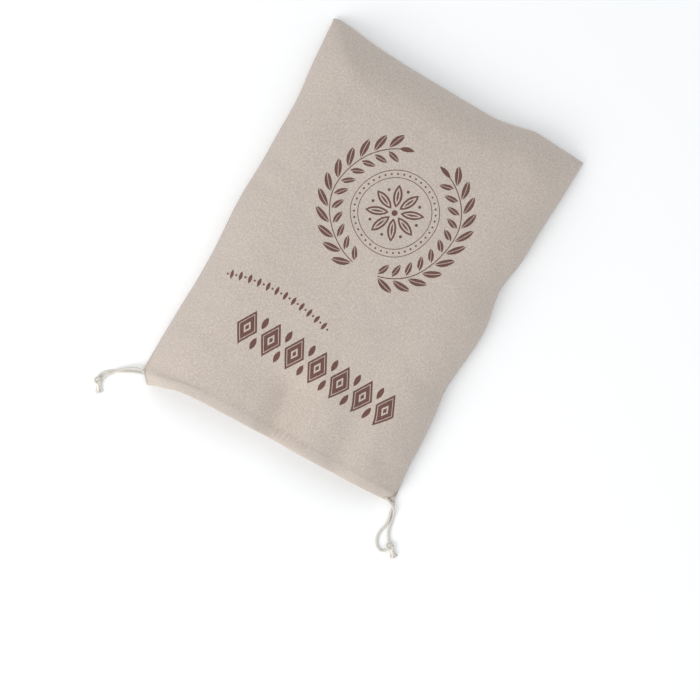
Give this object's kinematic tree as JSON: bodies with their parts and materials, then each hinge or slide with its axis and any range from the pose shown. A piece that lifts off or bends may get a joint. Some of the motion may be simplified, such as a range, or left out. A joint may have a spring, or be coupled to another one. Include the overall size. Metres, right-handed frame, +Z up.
{
  "type": "linen bread bag",
  "caption": "Open drawstring bread bag of natural linen, lying rounded and hollow on its back panel, with a stitched mouth hem and knotted cord ends.",
  "frame": {"origin": "on the surface the bag lies on, under the centre of the cloth's box, without the free cord ends", "axes": "+Y from the mouth to the closed end, +X to the right of it, +Z up, away from the surface"},
  "size_m": [0.3765, 0.4818, 0.0551],
  "materials": {
    "linen": "matte",
    "cotton_cord": "matte"
  },
  "bodies": {
    "root": {"front_panel": "linen", "back_panel": "linen", "cord_front_left": "cotton_cord", "cord_back_left": "cotton_cord", "cord_front_right": "cotton_cord", "cord_back_right": "cotton_cord", "knot_left": "cotton_cord", "knot_right": "cotton_cord"}
  },
  "joints": []
}
